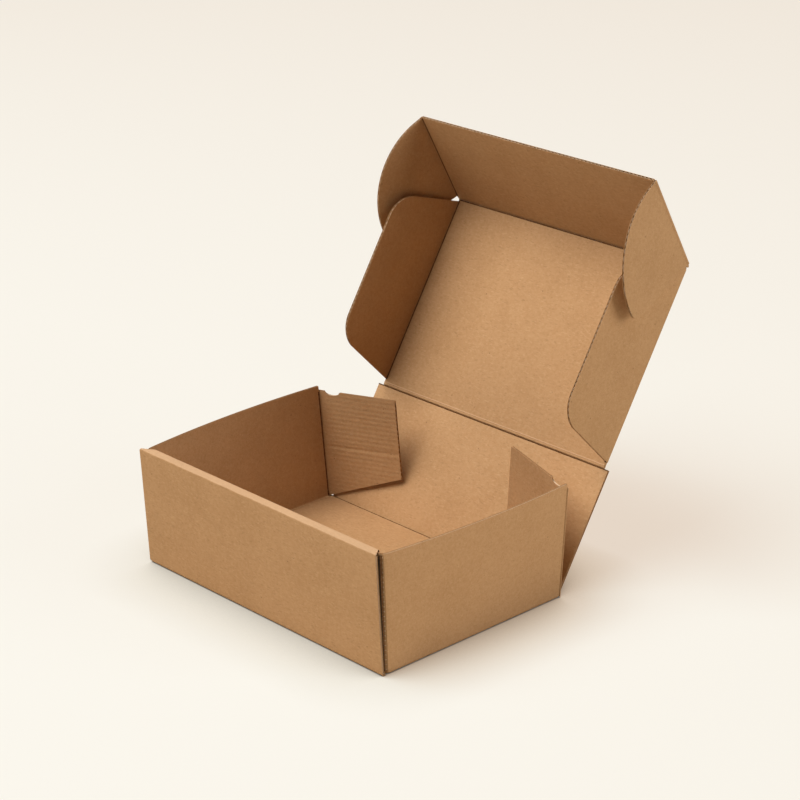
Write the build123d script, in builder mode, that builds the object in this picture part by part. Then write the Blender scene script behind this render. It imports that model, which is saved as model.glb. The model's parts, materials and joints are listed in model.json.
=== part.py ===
from build123d import *
import os
from math import asin, cos, degrees, radians, sin, tan

# Board, measured from outside liner to inside liner
board = 1.6
half_board = board / 2
crease_gap = 0.15        # daylight between a flap's rounded end and the panel that it turns on

# Tray: floor, two side walls and the rolled front wall, folded from one sheet
tray_width = 225.0       # over the side walls, at the floor
tray_depth = 156.0       # outside of the front wall's foot to outside of the upright back wall
wall_height = 82.0
fold_outside = 1.4       # outside radius of a bottom fold
bow_middle = 10.2        # how far a side wall's top edge springs out half way along
bow_rear = 7.4           # and at its rear end
bow_foot = 0.02          # and at its foot, which keeps that line an arc
corner_fold = 3.0        # outside radius of the fold between side wall and dust flap

# Front wall: outer skin, flat ridge and inner skin, rolled over both dust flaps
front_lean = 3.0         # top of the wall stands this far forward of its foot
front_overlap = 2.2      # outer skin runs past the side walls at each end
skin_play = 1.0          # free space on each side of the dust flap inside the wall
ridge_fold = 1.2         # outside radius of the ridge's two folds
inner_skin_play = 2.4    # between the end of the inner skin and a side wall
dust_flap_length = 62.0
dust_flap_play = 0.9     # above and below the dust flap
dust_flap_cut = 0.4      # the cuts above and below a dust flap run this far past its faces

# Lock tabs of the inner skin, standing in slots of the floor
tab_width = 30.0
tab_spread = 110.0       # between the middles of the two tabs
tab_lift = 0.2           # tab ends this far above the table
slot_play = 0.5

# Back wall, lid and tuck flap, each hinged on a crease of the one before
back_play = 1.4          # between back wall and side wall, each side
back_rise = 4.4          # back wall's crease above the side walls
lean = 32.7              # back wall and lid from upright, in degrees
lid_front_play = 7.2     # closed lid stops this far behind the front wall's inner skin
tuck_play = 2.9          # between tuck flap and side wall, each side
tuck_length = 74.0
tuck_fold = 60.0         # tuck flap from the lid's plane, in degrees

# Wings on the lid's two sides
ear_play = 0.4           # between a wing and the ear that lies outside it
wing_fold = 91.5         # from the lid's plane, in degrees
wing_width = 58.5
wing_rear_start = 3.6    # along the lid from its rear crease
wing_front_start = 2.2   # back along the lid from its front crease
wing_rear_taper = 14.0   # degrees off square
wing_front_taper = 15.3
wing_round = 20.0

# Ears on the tuck flap's two ends
ear_fold = 83.0          # from the tuck flap's plane, in degrees
ear_short = 11.0         # ear reaches this much less than the tuck flap is long
ear_root = 2.6           # foot of the ear's crease above the lid's front crease
ear_tip_play = 0.7       # ear ends this far short of the tuck flap's edge
ear_lip = 7.0            # short straight at the ear's top before its curve
ear_foot_slant = 6.0     # degrees off square
ear_round = 7.0

# Rear flaps on the side walls' rear ends
rear_flap_length = 64.5
rear_flap_fold = 77.5    # from the side wall's plane, in degrees
rear_flap_play = 0.3     # between a folded flap and the upright back wall
rear_flap_root = 5.0     # foot of the flap's crease above the table
rear_flap_slant = 17.8   # degrees that the foot edge rises
rear_flap_drop = 3.0     # top edge below the side wall's
nick_start = 5.0         # from the crease
nick_width = 14.0
nick_depth = 4.3
flap_round = 3.0

# Places that follow from the sizes
front_y = -tray_depth / 2
ridge_depth = 3 * board + 2 * skin_play
back_axis_y = tray_depth / 2 - half_board
floor_end_y = back_axis_y - half_board - crease_gap
flap_axis_y = tray_depth / 2 - board - rear_flap_play - half_board
side_end_y = flap_axis_y - half_board - crease_gap
side_start_y = front_y + board + skin_play
side_lean = degrees(asin(bow_rear / wall_height))
front_width = tray_width + 2 * front_overlap
inner_skin_width = tray_width - 2 * board - 2 * inner_skin_play
tab_y = front_y + ridge_depth - half_board
back_width = tray_width - 2 * board - 2 * back_play
tuck_width = tray_width - 2 * board - 2 * tuck_play
lid_width = tuck_width - 2 * board - 2 * ear_play
back_reach = wall_height + back_rise
lid_reach = tray_depth - ridge_depth - lid_front_play - board
ear_reach = tuck_length - ear_short


def leaning_plane(start, angle):
    """A panel's own plane: X along its crease, Y up the panel, Z towards the inside of the box."""
    return Plane(start, x_dir=(1, 0, 0), z_dir=(0, -cos(radians(angle)), sin(radians(angle))))


def up_panel(start, angle, distance):
    """The point at a distance up a panel that leans back by angle."""
    return start + Vector(0, sin(radians(angle)), cos(radians(angle))) * distance


def side_plane(panel_plane, side, reach, fold):
    """The plane of a flap folded along a panel's side: X up the panel, Y out along the flap."""
    turned = Plane(
        (side * reach, 0, 0),
        x_dir=(0, 1, 0),
        z_dir=(sin(radians(fold)), 0, -side * cos(radians(fold))),
    )
    return Plane(panel_plane.location * turned.location)


back_axis = Vector(0, back_axis_y, half_board)
lid_axis = up_panel(back_axis, lean, back_reach)
tuck_axis = up_panel(lid_axis, lean, lid_reach)
back_plane = leaning_plane(back_axis, lean)
lid_plane = leaning_plane(lid_axis, lean)
tuck_plane = leaning_plane(tuck_axis, lean - tuck_fold)


def side_wall_outline(height, side, middle, rear, shift):
    """Plan of a side wall with its dust flap; middle and rear are how far it stands out there."""
    outside = side * tray_width / 2
    inside = outside - side * board
    front = side_start_y - shift
    bend = front + corner_fold
    half_way = (bend + side_end_y) / 2
    flap_end = outside - side * (corner_fold + dust_flap_length)
    turn_x = outside - side * corner_fold
    turn = cos(radians(45))
    with BuildSketch(Plane.XY.offset(height)) as outline:
        with BuildLine():
            outer = ThreePointArc(
                (outside, bend),
                (outside + side * middle, half_way),
                (outside + side * rear, side_end_y),
            )
            end = Line(outer @ 1, (inside + side * rear, side_end_y))
            inner = ThreePointArc(end @ 1, (inside + side * middle, half_way), (inside, bend))
            inner_turn = ThreePointArc(
                inner @ 1,
                (turn_x + side * (corner_fold - board) * turn, bend - (corner_fold - board) * turn),
                (turn_x, front + board),
            )
            Polyline(inner_turn @ 1, (flap_end, front + board), (flap_end, front), (turn_x, front))
            ThreePointArc(
                (turn_x, front),
                (turn_x + side * corner_fold * turn, bend - corner_fold * turn),
                outer @ 0,
            )
        make_face()
    return outline.sketch


os.makedirs("parts", exist_ok=True)

# Side walls: straight at the floor, sprung outwards at the top, each ending in a dust flap
with BuildPart() as side_walls:
    for side in (-1, 1):
        loft(
            [
                side_wall_outline(0, side, bow_foot, 0, 0),
                side_wall_outline(wall_height, side, bow_middle, bow_rear, front_lean),
            ],
            ruled=True,
        )
    # The dust flaps clear the floor and the ridge
    with BuildSketch(Plane.YZ):
        clear = board + dust_flap_play
        with Locations((side_start_y - front_lean, 0), (side_start_y - front_lean, wall_height)):
            Rectangle(2 * (front_lean + board + dust_flap_cut), 2 * clear)
    extrude(amount=tray_width / 2 - corner_fold, both=True, mode=Mode.SUBTRACT)

# Front wall in section, then its ends
with BuildPart() as front_wall:
    with BuildSketch(Plane.YZ):
        with BuildLine():
            Polyline(
                (front_y, 0),
                (front_y - front_lean, wall_height),
                (front_y - front_lean + ridge_depth, wall_height),
                (front_y + ridge_depth, half_board),
                (front_y + ridge_depth - board, half_board),
                (front_y - front_lean + ridge_depth - board, wall_height - board),
                (front_y - front_lean + board, wall_height - board),
                (front_y + board, 0),
                close=True,
            )
        make_face()
    extrude(amount=front_width / 2, both=True)
    fillet(front_wall.edges().filter_by(Axis.X).group_by(Axis.Z)[-1], ridge_fold)
    # The inner skin stops short of the side walls and the ridge runs to it at a slant
    skin_y = front_y - front_lean + board
    with BuildSketch(Plane.XY):
        with BuildLine():
            Polyline(
                (inner_skin_width / 2, front_y + ridge_depth + board),
                (inner_skin_width / 2, front_y - front_lean + ridge_depth - board),
                (front_width / 2 + board, skin_y),
                (front_width / 2 + board, front_y + ridge_depth + board),
                close=True,
            )
        make_face()
        mirror(about=Plane.YZ)
    extrude(amount=wall_height + board, mode=Mode.SUBTRACT)
    # Outer skin, full to its ends
    with BuildSketch(Plane.YZ):
        with BuildLine():
            Polyline(
                (front_y, 0),
                (front_y - front_lean * (1 - board / wall_height), wall_height - board),
                (front_y - front_lean * (1 - board / wall_height) + board, wall_height - board),
                (front_y + board, 0),
                close=True,
            )
        make_face()
    extrude(amount=front_width / 2, both=True)

# Tray
with BuildPart() as tray:
    with BuildSketch(Plane.XY):
        with Locations((0, (front_y + floor_end_y) / 2)):
            Rectangle(tray_width, floor_end_y - front_y)
    extrude(amount=board)
    add(side_walls.part)
    add(front_wall.part)
    # The front wall's fold at the floor is rounded outside
    bottom_edges = tray.edges().group_by(Axis.Z)[0]
    fillet(bottom_edges.filter_by(Axis.X).sort_by(Axis.Y)[0], fold_outside)
    # Slots, with the lock tabs standing free in them
    with BuildSketch(Plane.XY):
        with Locations((0, tab_y)):
            with GridLocations(tab_spread, 1, 2, 1):
                Rectangle(tab_width + 2 * slot_play, board + 2 * slot_play)
    extrude(amount=board, mode=Mode.SUBTRACT)
    with BuildSketch(Plane.XY.offset(tab_lift)):
        with Locations((0, tab_y)):
            with GridLocations(tab_spread, 1, 2, 1):
                Rectangle(tab_width, board)
    extrude(amount=2 * board)
tray.part.label = "tray"
export_step(tray.part, "parts/tray.step")

# Back wall, its foot rounded about the hinge line
with BuildPart() as back_wall:
    with BuildSketch(back_plane.offset(-half_board)):
        Rectangle(back_width, back_reach - half_board - crease_gap, align=(Align.CENTER, Align.MIN))
    extrude(amount=board)
    with Locations(back_plane):
        Cylinder(half_board, back_width, rotation=(0, 90, 0))
back_wall.part.label = "back_wall"
export_step(back_wall.part, "parts/back_wall.step")

# Lid, with a wing folded down along each side
with BuildPart() as lid:
    with BuildSketch(lid_plane.offset(-half_board)):
        Rectangle(
            lid_width - board,
            lid_reach - half_board - crease_gap,
            align=(Align.CENTER, Align.MIN),
        )
    extrude(amount=board)
    with Locations(lid_plane):
        Cylinder(half_board, lid_width - board, rotation=(0, 90, 0))
    wing_run = lid_reach - wing_rear_start - wing_front_start
    for side in (-1, 1):
        wing_plane = side_plane(lid_plane, side, lid_width / 2 - half_board, wing_fold)
        with BuildSketch(wing_plane.offset(-half_board)) as wing_sketch:
            with BuildLine():
                Polyline(
                    (wing_rear_start, 0),
                    (wing_rear_start + wing_width * tan(radians(wing_rear_taper)), wing_width),
                    (
                        lid_reach - wing_front_start - wing_width * tan(radians(wing_front_taper)),
                        wing_width,
                    ),
                    (lid_reach - wing_front_start, 0),
                    close=True,
                )
            make_face()
            fillet(wing_sketch.vertices().group_by(Axis.Y)[-1], wing_round)
        extrude(amount=board)
        with Locations(wing_plane.location * Location((wing_rear_start + wing_run / 2, 0, 0))):
            Cylinder(half_board, wing_run, rotation=(0, 90, 0))
lid.part.label = "lid"
export_step(lid.part, "parts/lid.step")

# Tuck flap
with BuildPart() as tuck_flap:
    with BuildSketch(tuck_plane.offset(-half_board)):
        Rectangle(tuck_width - 2 * board - 2 * crease_gap, tuck_length, align=(Align.CENTER, Align.MIN))
    extrude(amount=board)
    with Locations(tuck_plane):
        Cylinder(half_board, tuck_width - 2 * board - 2 * crease_gap, rotation=(0, 90, 0))
tuck_flap.part.label = "tuck_flap"
export_step(tuck_flap.part, "parts/tuck_flap.step")

# Ears, one on each end of the tuck flap
for side, hand in ((-1, "left"), (1, "right")):
    ear_plane = side_plane(tuck_plane, side, tuck_width / 2 - half_board, ear_fold)
    ear_tip = tuck_length - ear_tip_play
    ear_curve = ear_reach - ear_lip
    with BuildPart() as ear:
        with BuildSketch(ear_plane.offset(-half_board)) as ear_sketch:
            with BuildLine():
                Polyline(
                    (ear_tip - ear_curve, ear_reach),
                    (ear_root + ear_reach * tan(radians(ear_foot_slant)), ear_reach),
                    (ear_root, 0),
                    (ear_tip, 0),
                    (ear_tip, ear_lip),
                )
                RadiusArc((ear_tip - ear_curve, ear_reach), (ear_tip, ear_lip), ear_curve)
            make_face()
            fillet(ear_sketch.vertices().group_by(Axis.Y)[-1].sort_by(Axis.X)[0], ear_round)
        extrude(amount=board)
        with Locations(ear_plane.location * Location(((ear_root + ear_tip) / 2, 0, 0))):
            Cylinder(half_board, ear_tip - ear_root, rotation=(0, 90, 0))
    ear.part.label = "ear_" + hand
    export_step(ear.part, "parts/ear_" + hand + ".step")

# Rear flaps, turned in behind the tray on the side walls' rear ends
for side, hand in ((-1, "left"), (1, "right")):
    upright = Vector(side * sin(radians(side_lean)), 0, cos(radians(side_lean)))
    inward = Vector(-side * cos(radians(side_lean)), 0, sin(radians(side_lean)))
    outward = inward * sin(radians(rear_flap_fold)) + Vector(0, cos(radians(rear_flap_fold)), 0)
    rear_flap_plane = Plane(
        Vector(side * (tray_width / 2 - half_board), flap_axis_y, 0),
        x_dir=upright,
        z_dir=upright.cross(outward),
    )
    flap_top = wall_height / cos(radians(side_lean)) - rear_flap_drop
    with BuildPart() as rear_flap:
        with BuildSketch(rear_flap_plane.offset(-half_board)) as flap_sketch:
            with BuildLine():
                Polyline(
                    (rear_flap_root, 0),
                    (
                        rear_flap_root + rear_flap_length * tan(radians(rear_flap_slant)),
                        rear_flap_length,
                    ),
                    (flap_top, rear_flap_length),
                    (flap_top, 0),
                    close=True,
                )
            make_face()
            fillet(flap_sketch.vertices().group_by(Axis.Y)[-1], flap_round)
            # The wing passes through this nick as the lid comes down
            with Locations((flap_top, nick_start + nick_width / 2)):
                Ellipse(nick_depth, nick_width / 2, mode=Mode.SUBTRACT)
        extrude(amount=board)
        with Locations(rear_flap_plane.location * Location(((rear_flap_root + flap_top) / 2, 0, 0))):
            Cylinder(half_board, flap_top - rear_flap_root, rotation=(0, 90, 0))
    rear_flap.part.label = "rear_flap_" + hand
    export_step(rear_flap.part, "parts/rear_flap_" + hand + ".step")
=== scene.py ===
import json
import math
import bpy
from bpy.props import FloatProperty, FloatVectorProperty, PointerProperty
from mathutils import Matrix, Vector, noise


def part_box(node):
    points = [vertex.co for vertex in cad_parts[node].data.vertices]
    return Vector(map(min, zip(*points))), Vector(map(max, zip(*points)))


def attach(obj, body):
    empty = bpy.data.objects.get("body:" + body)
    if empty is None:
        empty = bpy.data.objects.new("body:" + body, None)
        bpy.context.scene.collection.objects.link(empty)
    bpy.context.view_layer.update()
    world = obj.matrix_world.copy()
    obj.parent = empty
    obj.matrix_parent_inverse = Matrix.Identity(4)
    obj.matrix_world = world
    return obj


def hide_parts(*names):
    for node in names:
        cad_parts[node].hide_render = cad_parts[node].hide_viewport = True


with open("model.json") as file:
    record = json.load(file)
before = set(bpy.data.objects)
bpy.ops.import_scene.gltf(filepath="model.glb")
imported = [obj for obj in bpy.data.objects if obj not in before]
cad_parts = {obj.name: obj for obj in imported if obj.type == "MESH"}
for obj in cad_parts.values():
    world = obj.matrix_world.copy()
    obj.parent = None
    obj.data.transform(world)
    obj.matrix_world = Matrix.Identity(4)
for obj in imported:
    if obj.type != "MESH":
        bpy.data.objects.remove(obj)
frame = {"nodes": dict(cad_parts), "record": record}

bl_info = {
    "name": "Die-cut mailer box",
    "version": (1, 0, 0),
    "blender": (4, 5, 0),
    "location": "3D View > Sidebar > Mailer box",
    "description": "Dresses the folded corrugated box: fluted board panels, creases and kraft paper",
    "category": "Object",
}

MM = 0.001
ALONG_X = Vector((1, 0, 0))
ALONG_Y = Vector((0, 1, 0))
ALONG_Z = Vector((0, 0, 1))
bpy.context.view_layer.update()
PAPERS = ("kraft liner", "shaded cut paper", "crushed and shaded paper", "liner rim", "highlit liner", "painted slit shade")

# Board: space beside the fluted paper, steps in one flute, and how round a closed end is
FLUTE_PLAY = 0.01 * MM
STEPS_PER_FLUTE = 6
FULL_ROUND = 0.999
EASED_ROUND = 0.3

# Cells of a sheet that is bent or rippled, across and up
WALL_CELLS = (60, 8)
FRONT_CELLS = (46, 1)
REAR_FLAP_CELLS = (140, 16)
GAP_CELLS = (4, 10)

# Folds: a radius at the floor is at the board's middle, and the ridge's is outside
BOTTOM_FOLD = 1.9 * MM
RIDGE_FOLD = 1.05 * MM
RIDGE_WAVE = 0.35 * MM
RIDGE_WAVE_REACH = 3 * MM
# How far below the ridge's top the painted highlight reaches
HIGHLIGHT_DEPTH = 0.3 * MM
FOLD_STEPS = 5
SKIN_STEP = 12 * MM
FLOOR_LAP = 0.1 * MM

# Outer liner carried round a flap's crease
STRIP_CLEAR = 0.03 * MM
STRIP_LAP = 1.2 * MM
STRIP_PAPER = 0.14 * MM
STRIP_STEPS = 26
REAR_STRIP_START = 0.3 * MM

# Lines along a crease, of crushed paper darkened with painted crease shade, and the rear bead, pale with a
# painted highlight: how far each lies from the crease, and how deep its middle is in the board
SCORE_RADIUS = 0.38 * MM
BACK_SCORE = (1.2 * MM, 0.1 * MM)
TUCK_SCORE = (1.3 * MM, 0.08 * MM)
REAR_BEAD = (-1.4 * MM, 0.33 * MM)
REAR_BEAD_RADIUS = 0.5 * MM
WING_SCORE_RADIUS = 0.6 * MM
EAR_SCORE_INSET = 0.32 * MM
CORNER_SCORE_INSET = 1.3 * MM
CORNER_SCORE_SHORT = 4 * MM
FLOOR_SCORE_DEPTH = 0.2 * MM
FLOOR_SCORE_REACH = 0.8 * MM
FLOOR_SCORE_BACK = 0.05 * MM
# Dark plug at each rear corner of the floor: painted shade closing the corner's gap
SHADED_CORNER_PLUG = (-0.1 * MM, 0.3 * MM, 1.1 * MM)
SHADED_CORNER_PLUG_LENGTH = 0.9 * MM
SHADED_CORNER_PLUG_RADIUS = 0.62 * MM

# Left rear flap: the liner's ripple over the flutes and the long dent
RIPPLE = 0.13 * MM
DENT_DEPTH = 0.24 * MM
DENT_PLACE = 39 * MM
DENT_WIDTH = 1.1 * MM
DENT_SLANT = 0.02
RIPPLE_START = 0.5 * MM
RIPPLE_FADE = 6 * MM

# Inside the rolled front wall
SKIN_SHIFT = 2.5 * MM
DUST_FLAP_LENGTH = 62 * MM
DUST_FLAP_PLAY = 0.9 * MM
TAB_WIDTH = 30 * MM
TAB_SPREAD = 110 * MM
TAB_LIFT = 0.2 * MM
SLOT_PLAY = 0.5 * MM

# Painted shade in the gap at the front right corner: a dark sheet between the outer skin and the side
# wall's fold
GAP_FOOT = 3 * MM
GAP_BELOW_RIDGE = 1.2 * MM
GAP_TURN = math.radians(60)
GAP_TURN_LESS = math.radians(18)
GAP_LAP = 0.3 * MM
GAP_SINK = 0.2 * MM
SLIT_SHADE_THICKNESS = 0.1 * MM

# Paper tones that nobody would change: crushed paper darkened with painted crease shade, the painted shade
# in the corner slit, and bark specks
CRUSHED_SHADE_TONES = ((0.085, 0.038, 0.014), (0.2, 0.098, 0.04))
SLIT_SHADE_TONES = ((0.018, 0.009, 0.004), (0.045, 0.024, 0.011))
SPECK_TONE = (0.17, 0.08, 0.03)
FIBRE_TURNS = ((0.5, 0.3, 0.2), (-0.7, 0.5, 1.3), (1.2, -0.6, 2.2), (0.1, 1.1, -0.8))

# Stage: the camera of the photograph, the two lamps and the floor's shade close to the box
CAMERA_PLACE = (1.1466, -0.9921, 0.7346)
CAMERA_YAW = math.radians(47.923)
CAMERA_PITCH = math.radians(21.886)
CAMERA_ROLL = math.radians(-1.332)
CAMERA_LENS = 115.94
LAMP_AIM = Vector((0, 0.05, 0.08))
LAMPS = (
    ("key", (-0.92, -1.20, 2.98), 2.6, 158.0, (1.0, 0.98, 0.945)),
    ("fill", (2.80, 1.43, 1.14), 2.0, 58.0, (1.0, 0.975, 0.94)),
)
WORLD_TONE = (1.0, 0.985, 0.96, 1)
WORLD_STRENGTH = 0.015
BACKDROP_STRENGTH = 1.2
BACKDROP_SHARE = 0.65
CONTACT_REACH = 0.06
TABLE_SIZE = 14.0
CONTACT_SHADE = (
    (0.0, (0.02, 0.0105, 0.0055)), (0.3, (0.12, 0.066, 0.036)), (0.5, (0.55, 0.40, 0.28)),
    (0.72, (0.82, 0.65, 0.50)),
)


def length(name, description, millimetres):
    return FloatProperty(
        name=name, description=description, default=millimetres * MM, unit="LENGTH", precision=5,
    )


def slant(name, description, degrees):
    return FloatProperty(
        name=name, description=description, default=math.radians(degrees), subtype="ANGLE",
    )


def tone(name, description, colour):
    return FloatVectorProperty(
        name=name, description=description, default=colour, size=3, subtype="COLOR", min=0, max=1,
    )


class BoardSizes(bpy.types.PropertyGroup):
    board: length("Board", "Thickness of the corrugated board", 1.6)
    liner: length("Liner", "Thickness of the paper on each face of the board", 0.21)
    medium: length("Medium", "Thickness of the fluted paper between the faces", 0.19)
    flute_pitch: length("Flute pitch", "From one flute to the next", 3.3)
    flute_recess: length("Flute recess", "How far the flutes stop short of a cut edge", 0.35)
    crease_gap: length("Crease gap", "Daylight between a flap's rounded end and its neighbour", 0.15)


class FlapShapes(bpy.types.PropertyGroup):
    wing_width: length("Wing width", "From the lid's side crease to the wing's free edge", 58.5)
    wing_rear_start: length("Wing rear start", "Along the lid from its rear crease", 3.6)
    wing_front_start: length("Wing front start", "Back along the lid from its front crease", 2.2)
    wing_rear_taper: slant("Wing rear taper", "Slant of the wing's rear edge", 14.0)
    wing_front_taper: slant("Wing front taper", "Slant of the wing's front edge", 15.3)
    wing_round: length("Wing corner", "Radius of the wing's two free corners", 20.0)
    ear_reach: length("Ear reach", "From the tuck flap's end crease to the ear's far edge", 63.0)
    ear_root: length("Ear root", "Foot of the ear's crease above the lid's front crease", 2.6)
    ear_tip: length("Ear tip", "Top of the ear's crease above the lid's front crease", 73.3)
    ear_lip: length("Ear lip", "Short straight before the ear's curve", 7.0)
    ear_foot_slant: slant("Ear foot slant", "Slant of the ear's foot edge", 6.0)
    ear_round: length("Ear corner", "Radius of the ear's foot corner", 7.0)
    rear_flap_length: length("Rear flap length", "From the side wall's rear crease to the free edge", 64.5)
    rear_flap_root: length("Rear flap root", "Foot of the rear flap's crease above the table", 1.8)
    rear_flap_slant: slant("Rear flap slant", "Rise of the rear flap's foot edge", 17.8)
    nick_centre: length("Nick centre", "Middle of the nick in the rear flap's top edge", 11.0)
    nick_width: length("Nick width", "Width of the nick in the rear flap's top edge", 13.0)
    nick_depth: length("Nick depth", "Depth of the nick in the rear flap's top edge", 2.6)


class TrayShapes(bpy.types.PropertyGroup):
    wall_height: length("Wall height", "Height of the side walls and of the ridge", 82.0)
    width: length("Tray width", "Over the side walls at the floor", 225.0)
    depth: length("Tray depth", "From the front wall's foot to the upright back wall", 156.0)
    bow_middle: length("Bow, middle", "How far a side wall's top springs out half way along", 8.9)
    bow_front: length("Bow, front", "How far a side wall's top springs out at its front fold", 2.4)
    bow_rear: length("Bow, rear", "How far a side wall's top springs out at its rear end", 7.4)
    corner_fold: length("Corner fold", "Outside radius of the fold into the dust flap", 3.0)
    front_lean: length("Front lean", "The ridge stands this far forward of the wall's foot", 3.0)
    ridge_depth: length("Ridge depth", "Outer face to inner face of the rolled front wall", 6.8)
    front_width: length("Front width", "Width of the front wall's outer skin", 229.4)
    inner_skin_width: length("Inner skin width", "Width of the front wall's inner skin", 217.0)
    skin_play: length("Skin play", "Free space on each side of a dust flap", 1.9)


class PaperColours(bpy.types.PropertyGroup):
    kraft: tone("Kraft", "Main colour of the brown paper", (0.486, 0.276, 0.128))
    kraft_dark: tone("Kraft, dark", "Darker clouds and fibres in the paper", (0.432, 0.2385, 0.104))
    kraft_light: tone("Kraft, light", "Pale fibres in the paper", (0.594, 0.374, 0.20))
    shaded_cut_edge: tone("Cut edge", "Shaded paper inside the board", (0.24, 0.13, 0.058))
    # Painted highlight: this pale tone lightens the ridge's top and the rear crease's bead in place of
    # light
    painted_highlight: tone("Highlit paper", "Paper stretched pale over the ridge and a crease", (0.648, 0.423, 0.257))
    rim: tone("Liner rim", "Cut edge of a liner, and the fluted paper", (0.80, 0.60, 0.41))
    backdrop: tone("Backdrop", "Pale tone that the camera sees in the floor", (0.956, 0.80, 0.664))
    table: tone("Table", "Tone of the floor that takes the shadow", (0.485, 0.69, 0.77))
    bounce: tone("Bounce", "Light that the floor throws back on the box", (0.76, 0.69, 0.58))


# Small helpers for modelling

def settings():
    return bpy.context.scene.mailer_box


def hinge(name):
    """A joint's place at rest and its axis."""
    for joint in frame["record"]["behaviour"]["joints"]:
        if joint["name"] == name:
            return Vector(joint["pos_m"]), Vector(joint["axis"]).normalized()
    raise KeyError(name)


def crease(name):
    """A joint's place at rest."""
    return hinge(name)[0]


def face_towards(node, hint):
    """The mean normal of a node's faces that look within about 25 degrees of hint."""
    total = Vector()
    for face in frame["nodes"][node].data.polygons:
        if face.normal.dot(hint) > 0.9:
            total += face.normal * face.area
    return total.normalized()


def placing(origin, along, up):
    """The matrix that sets a flat panel in its place: its X along, its Y up, its Z their product."""
    along = along.normalized()
    up = up.normalized()
    out = along.cross(up)
    rows = [(along[i], up[i], out[i], origin[i]) for i in range(3)]
    return Matrix(rows + [(0, 0, 0, 1)])


def deselect():
    bpy.ops.object.select_all(action="DESELECT")


def only(piece):
    deselect()
    piece.select_set(True)
    bpy.context.view_layer.objects.active = piece


def set_mode(mode):
    bpy.ops.object.mode_set(mode=mode)


def select_mesh():
    bpy.ops.mesh.select_all(action="SELECT")


def select_where(piece, kind, wanted):
    """In edit mode, selects the elements for which wanted(element) is true, and says if any are."""
    set_mode("EDIT")
    bpy.ops.mesh.select_mode(type=kind)
    bpy.ops.mesh.select_all(action="DESELECT")
    set_mode("OBJECT")
    mesh = piece.data
    elements = {"VERT": mesh.vertices, "EDGE": mesh.edges, "FACE": mesh.polygons}[kind]
    chosen = [element for element in elements if wanted(element)]
    for element in chosen:
        element.select = True
    set_mode("EDIT")
    return bool(chosen)


def finish_modifier(piece, modifier):
    only(piece)
    bpy.ops.object.modifier_apply(modifier=modifier.name)


def thicken(sheet, thickness, offset):
    """Gives a sheet its thickness; offset says to which side, 0 for both."""
    thick = sheet.modifiers.new("Thickness", "SOLIDIFY")
    thick.thickness = thickness
    thick.offset = offset
    finish_modifier(sheet, thick)


def place(piece, matrix):
    """Moves the mesh into place and leaves the object at the origin."""
    only(piece)
    piece.matrix_world = matrix
    bpy.ops.object.transform_apply()


def flat_sheet(name, low, high, across=1, up=1):
    """A flat rectangle in the XY plane from corner low to corner high, divided into cells."""
    deselect()
    bpy.ops.mesh.primitive_grid_add(x_subdivisions=across, y_subdivisions=up, size=1.0)
    sheet = bpy.context.object
    sheet.name = name
    sheet.scale = (high[0] - low[0], high[1] - low[1], 1)
    sheet.location = ((low[0] + high[0]) / 2, (low[1] + high[1]) / 2, 0)
    bpy.ops.object.transform_apply()
    return sheet


def cut_off(piece, point, outward, fill=False):
    """Cuts away what lies beyond the plane through point."""
    only(piece)
    set_mode("EDIT")
    bpy.ops.mesh.select_mode(type="VERT")
    select_mesh()
    bpy.ops.mesh.bisect(
        plane_co=point, plane_no=outward, clear_outer=True, use_fill=fill, threshold=1e-7,
    )
    set_mode("OBJECT")


def round_corner(sheet, corner, radius, segments):
    """Rounds the sheet's corner nearest to a point, by a curve that starts where a radius would."""
    only(sheet)
    mesh = sheet.data
    target = min(mesh.vertices, key=lambda v: (v.co.xy - Vector(corner)).length)
    index = target.index
    arms = []
    for edge in mesh.edges:
        if index in edge.vertices:
            other = edge.vertices[0] if edge.vertices[1] == index else edge.vertices[1]
            arms.append((mesh.vertices[other].co - target.co).normalized())
    half_angle = arms[0].angle(arms[1]) / 2
    select_where(sheet, "VERT", lambda v: v.index == index)
    bpy.ops.mesh.bevel(
        offset=radius / math.tan(half_angle), segments=segments, affect="VERTICES",
        clamp_overlap=False,
    )
    set_mode("OBJECT")


def add_loops(piece, marks, axis):
    """Cuts edges across a piece at each mark, taking nothing away."""
    only(piece)
    set_mode("EDIT")
    for mark in marks:
        select_mesh()
        bpy.ops.mesh.bisect(plane_co=axis * mark, plane_no=axis, threshold=1e-7)
    set_mode("OBJECT")


def cut_through(piece, cutters):
    """Takes the cutters' shapes out of a piece, then deletes them."""
    for cutter in cutters:
        hole = piece.modifiers.new("Hole", "BOOLEAN")
        hole.operation = "DIFFERENCE"
        hole.solver = "EXACT"
        hole.object = cutter
        finish_modifier(piece, hole)
        only(cutter)
        bpy.ops.object.delete()


def join(pieces):
    deselect()
    for piece in pieces:
        piece.select_set(True)
    bpy.context.view_layer.objects.active = pieces[0]
    bpy.ops.object.join()
    return pieces[0]


def mirrored(piece, name):
    """A copy on the other side of the box, turned right side out."""
    only(piece)
    bpy.ops.object.duplicate()
    twin = bpy.context.object
    twin.name = name
    for vertex in twin.data.vertices:
        vertex.co.x = -vertex.co.x
    twin.data.flip_normals()
    return twin


def hand_over(piece, node):
    """The smoothed piece rides on its body and stands for the node of the same name."""
    only(piece)
    bpy.ops.object.shade_smooth_by_angle(angle=math.radians(35))
    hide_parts(node)
    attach(piece, node)


def give_materials(piece):
    piece.data.materials.clear()
    for name in PAPERS:
        piece.data.materials.append(bpy.data.materials[name])


def paint(piece, paper):
    """Gives every face one of the papers."""
    for face in piece.data.polygons:
        face.material_index = PAPERS.index(paper)


# Corrugated board

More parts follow.
